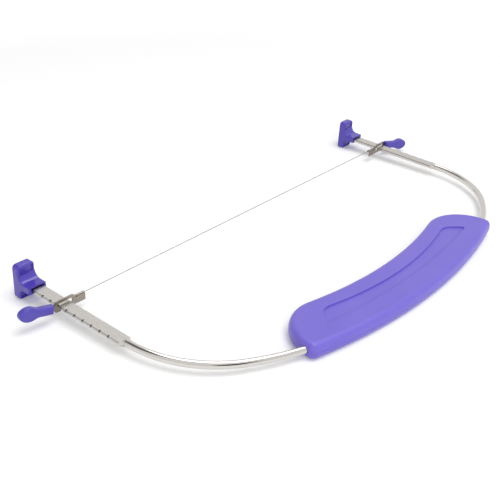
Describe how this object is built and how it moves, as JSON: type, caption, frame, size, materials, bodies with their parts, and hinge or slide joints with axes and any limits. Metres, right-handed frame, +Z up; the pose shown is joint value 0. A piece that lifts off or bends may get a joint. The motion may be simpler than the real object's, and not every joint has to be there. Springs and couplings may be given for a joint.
{
  "type": "cake leveler",
  "caption": "Bow-shaped cake leveler: bent steel rod with notched flat arms, end feet, a crescent grip, and a taut cutting wire held at a chosen height by slotted clips with knobs.",
  "frame": {"origin": "centre of the tool's bounding box in plan, on the table that it lies on", "axes": "+X along the cutting wire to the viewer's right, +Y from the handle towards the feet, +Z up from the table"},
  "size_m": [0.5288, 0.2491, 0.0309],
  "materials": {
    "rod_steel": "polished rod, lightly brushed flats",
    "grip_plastic": "satin moulded violet",
    "foot_plastic": "semi-gloss deep violet",
    "knob_plastic": "satin deep violet",
    "clip_steel": "mill-finish strip",
    "wire_steel": "drawn wire"
  },
  "bodies": {
    "frame": {"bow_frame": "rod_steel", "handle_upper_shell": "grip_plastic", "handle_lower_shell": "grip_plastic", "left_foot": "foot_plastic", "right_foot": "foot_plastic"},
    "wire_carriage": {"cutting_wire": "wire_steel", "wire_stops": "wire_steel"},
    "left_clip_set": {"left_clip": "clip_steel", "left_knob": "knob_plastic"},
    "right_clip_set": {"right_clip": "clip_steel", "right_knob": "knob_plastic"}
  },
  "joints": [
    {"name": "wire_height", "type": "slide", "parent": "frame", "child": "wire_carriage", "axis": [0, 0.9997, 0.026], "range_m": [-0.05715, 0.01905]},
    {"name": "left_clip_seat", "type": "slide", "parent": "wire_carriage", "child": "left_clip_set", "axis": [1, 0, 0], "range_m": [0, 0.0018]},
    {"name": "right_clip_seat", "type": "slide", "parent": "wire_carriage", "child": "right_clip_set", "axis": [-1, 0, 0], "range_m": [0, 0.0018]}
  ]
}
